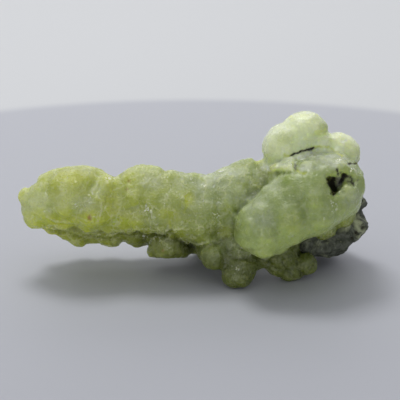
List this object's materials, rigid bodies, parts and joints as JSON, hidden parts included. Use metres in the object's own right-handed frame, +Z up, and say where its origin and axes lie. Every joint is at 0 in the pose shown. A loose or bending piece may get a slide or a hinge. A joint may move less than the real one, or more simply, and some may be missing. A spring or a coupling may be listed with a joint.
{
  "type": "prehnite",
  "caption": "Pale green botryoidal prehnite grown as a long finger, a thin finger behind it and a stubby finger with crown lobes, on a lump of dark basalt; lies on its lower lobes.",
  "frame": {"origin": "middle of the specimen's bounding box in X and Y, at the plane that its lower lobes lie on", "axes": "+X from the tip of the long finger towards the cluster, +Y from the side that carries the stubby finger and its cavity towards the back, +Z up"},
  "size_m": [0.0898, 0.0398, 0.0431],
  "materials": {
    "prehnite": "waxy to vitreous, translucent pale yellow-green with a fine sugary crystalline skin",
    "host_rock": "rough dull dark grey-green basalt with thin pale crusts"
  },
  "bodies": {
    "root": {"prehnite": "prehnite", "host_rock": "host_rock"}
  },
  "joints": []
}
